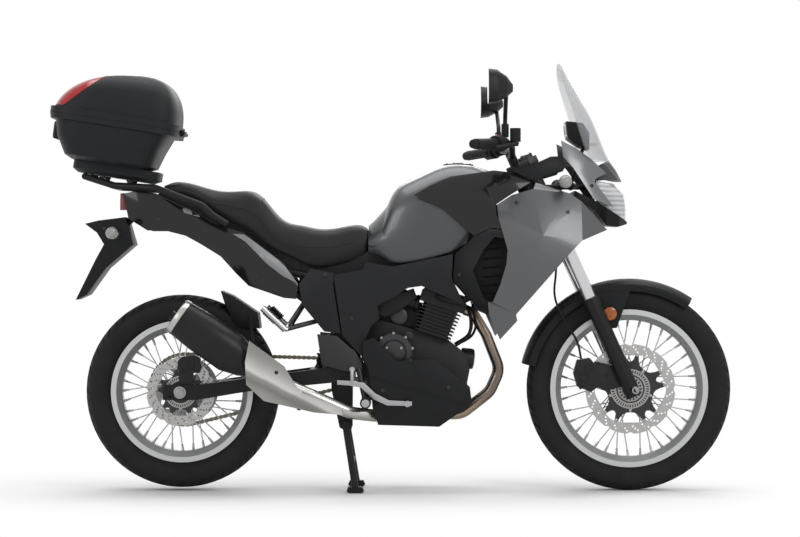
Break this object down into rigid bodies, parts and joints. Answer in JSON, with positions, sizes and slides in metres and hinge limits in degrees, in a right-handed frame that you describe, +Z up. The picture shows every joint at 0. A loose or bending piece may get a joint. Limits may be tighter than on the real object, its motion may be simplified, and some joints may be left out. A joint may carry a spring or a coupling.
{
  "type": "motorcycle",
  "caption": "Adventure motorcycle with spoked wheels, side shrouds, tall windshield, two-level seat, side silencer and a hard top case, parked on its centre stand.",
  "frame": {"origin": "on the floor, under the middle of the machine's length and width", "axes": "+X forward, +Y to the rider's left, +Z up"},
  "size_m": [2.2031, 0.8606, 1.39],
  "materials": {
    "tyre": "matt black rubber",
    "rim": "satin aluminium",
    "disc": "brushed steel",
    "chain": "oiled steel",
    "fork_black": "satin black",
    "fork_tube": "hard chrome",
    "bar": "satin black",
    "grip": "black rubber",
    "mirror_shell": "black plastic with mirror glass",
    "black_plastic": "matt black plastic",
    "silver_panel": "metallic silver paint",
    "dark_panel": "dark grey plastic",
    "gloss_black": "gloss black paint",
    "frame_paint": "black frame paint",
    "engine_metal": "cast aluminium",
    "engine_cover": "dark grey paint",
    "exhaust_steel": "heat-tinted steel",
    "muffler_skin": "satin steel",
    "shield_metal": "satin steel",
    "radiator_metal": "dark aluminium",
    "seat_cover": "black vinyl",
    "red_lens": "red lens",
    "amber_lens": "amber lens",
    "lamp_glass": "clear lens",
    "clear_screen": "clear acrylic",
    "case_black": "grained black plastic",
    "spring_black": "dark spring and damper"
  },
  "bodies": {
    "frame": {"chain": "chain", "main_frame": "frame_paint", "swingarm": "frame_paint", "shock_absorber": "spring_black", "hugger": "black_plastic", "engine_case": "engine_metal", "engine_covers": "engine_cover", "engine_cylinders": "engine_metal", "exhaust": "exhaust_steel", "muffler": "muffler_skin", "muffler_shield": "shield_metal", "skid_plate": "black_plastic", "radiator": "radiator_metal", "seat": "seat_cover", "fuel_tank": "silver_panel", "shrouds": "silver_panel", "vent_cowls": "black_plastic", "tank_covers": "gloss_black", "side_covers": "black_plastic", "tail_cowls": "gloss_black", "rear_fender": "black_plastic", "tail_lamp": "red_lens", "turn_signals": "amber_lens", "front_cowl": "silver_panel", "nose_cowl": "black_plastic", "headlamp": "lamp_glass", "meter": "black_plastic", "windshield": "clear_screen", "headlamp_brow": "dark_panel", "rear_caliper": "engine_cover", "grab_rails": "frame_paint", "case_shell": "case_black", "case_base": "case_black", "foot_controls": "frame_paint", "pillion_pegs": "disc"},
    "steering": {"fork_sliders": "fork_black", "fork_tubes": "fork_tube", "handlebar": "bar", "grips": "grip", "mirrors": "mirror_shell", "front_fender": "black_plastic", "front_caliper": "engine_cover", "front_brake_hose": "grip"},
    "front_wheel": {"front_tyre": "tyre", "front_wheel_rim": "rim", "front_brake_disc": "disc"},
    "rear_wheel": {"rear_tyre": "tyre", "rear_wheel_rim": "rim", "rear_brake_disc": "disc", "rear_sprocket": "disc"},
    "centre_stand": {"centre_stand": "frame_paint"},
    "side_stand": {"side_stand": "frame_paint"},
    "case_lid": {"case_lid": "case_black"}
  },
  "joints": [
    {"name": "steering", "type": "hinge", "parent": "frame", "child": "steering", "pos_m": [0.46519, 0, 0.9114], "axis": [-0.4115, 0, 0.9114], "range_deg": [-35, 35]},
    {"name": "front_wheel_spin", "type": "hinge", "parent": "steering", "child": "front_wheel", "pos_m": [0.7687, 0, 0.3313], "axis": [0, 1, 0], "continuous": true},
    {"name": "rear_wheel_spin", "type": "hinge", "parent": "frame", "child": "rear_wheel", "pos_m": [-0.6813, 0, 0.322], "axis": [0, 1, 0], "continuous": true},
    {"name": "centre_stand_swing", "type": "hinge", "parent": "frame", "child": "centre_stand", "pos_m": [-0.15, 0, 0.215], "axis": [0, 1, 0], "range_deg": [0, 75]},
    {"name": "side_stand_swing", "type": "hinge", "parent": "frame", "child": "side_stand", "pos_m": [-0.07, 0.124, 0.232], "axis": [-0.104, 0.9893, 0.102], "range_deg": [-110, 0]},
    {"name": "case_lid_hinge", "type": "hinge", "parent": "frame", "child": "case_lid", "pos_m": [-0.67536, 0, 1.15717], "axis": [0, 1, 0], "range_deg": [0, 85]}
  ]
}
